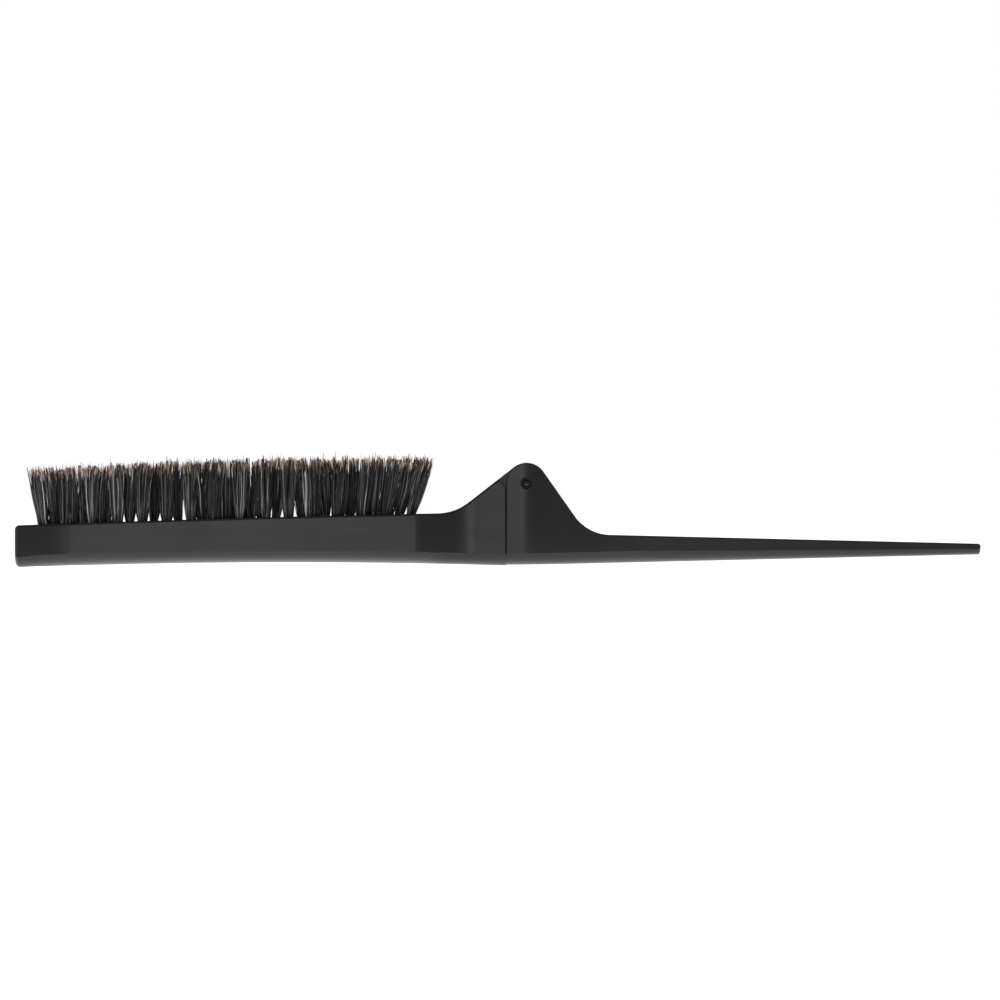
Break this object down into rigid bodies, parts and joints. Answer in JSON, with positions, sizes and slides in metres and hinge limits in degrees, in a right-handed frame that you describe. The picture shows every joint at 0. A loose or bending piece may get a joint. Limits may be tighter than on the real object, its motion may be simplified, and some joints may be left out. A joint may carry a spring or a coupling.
{
  "type": "folding back-combing brush",
  "caption": "Slim hairdressing brush with staggered mixed-bristle tufts and a pointed rat-tail handle that folds over the bristles on a riveted hinge.",
  "frame": {"origin": "middle of the underside of the open brush", "axes": "+X from the head's free end to the tail's tip, +Z the way the bristles point, Y across the brush"},
  "size_m": [0.2362, 0.015, 0.027],
  "materials": {
    "black_plastic": "satin moulded",
    "bristle": "mixed black and grey bristle with brown tips",
    "dark_rivet": "blackened, glossy",
    "anchor_wire": "flat wire"
  },
  "bodies": {
    "brush_head": {"head_stock": "black_plastic", "tuft_A01": "bristle", "tuft_A02": "bristle", "tuft_A03": "bristle", "tuft_A04": "bristle", "tuft_A05": "bristle", "tuft_A06": "bristle", "tuft_A07": "bristle", "tuft_A08": "bristle", "tuft_A09": "bristle", "tuft_A10": "bristle", "tuft_A11": "bristle", "tuft_A12": "bristle", "tuft_A13": "bristle", "tuft_A14": "bristle", "tuft_A15": "bristle", "tuft_A16": "bristle", "tuft_B01": "bristle", "tuft_B02": "bristle", "tuft_B03": "bristle", "tuft_B04": "bristle", "tuft_B05": "bristle", "tuft_B06": "bristle", "tuft_B07": "bristle", "tuft_B08": "bristle", "tuft_B09": "bristle", "tuft_B10": "bristle", "tuft_B11": "bristle", "tuft_B12": "bristle", "tuft_B13": "bristle", "tuft_B14": "bristle", "tuft_B15": "bristle", "tuft_C01": "bristle", "tuft_C02": "bristle", "tuft_C03": "bristle", "tuft_C04": "bristle", "tuft_C05": "bristle", "tuft_C06": "bristle", "tuft_C07": "bristle", "tuft_C08": "bristle", "tuft_C09": "bristle", "tuft_C10": "bristle", "tuft_C11": "bristle", "tuft_C12": "bristle", "tuft_C13": "bristle", "tuft_C14": "bristle", "tuft_C15": "bristle", "tuft_C16": "bristle", "tuft_anchors": "anchor_wire"},
    "tail": {"tail_handle": "black_plastic", "hinge_rivet": "dark_rivet", "rivet_washer": "dark_rivet"}
  },
  "joints": [
    {"name": "tail_fold", "type": "hinge", "parent": "brush_head", "child": "tail", "pos_m": [0.00696, 0, 0.0206], "axis": [0, -1, 0], "range_deg": [0, 180]}
  ]
}
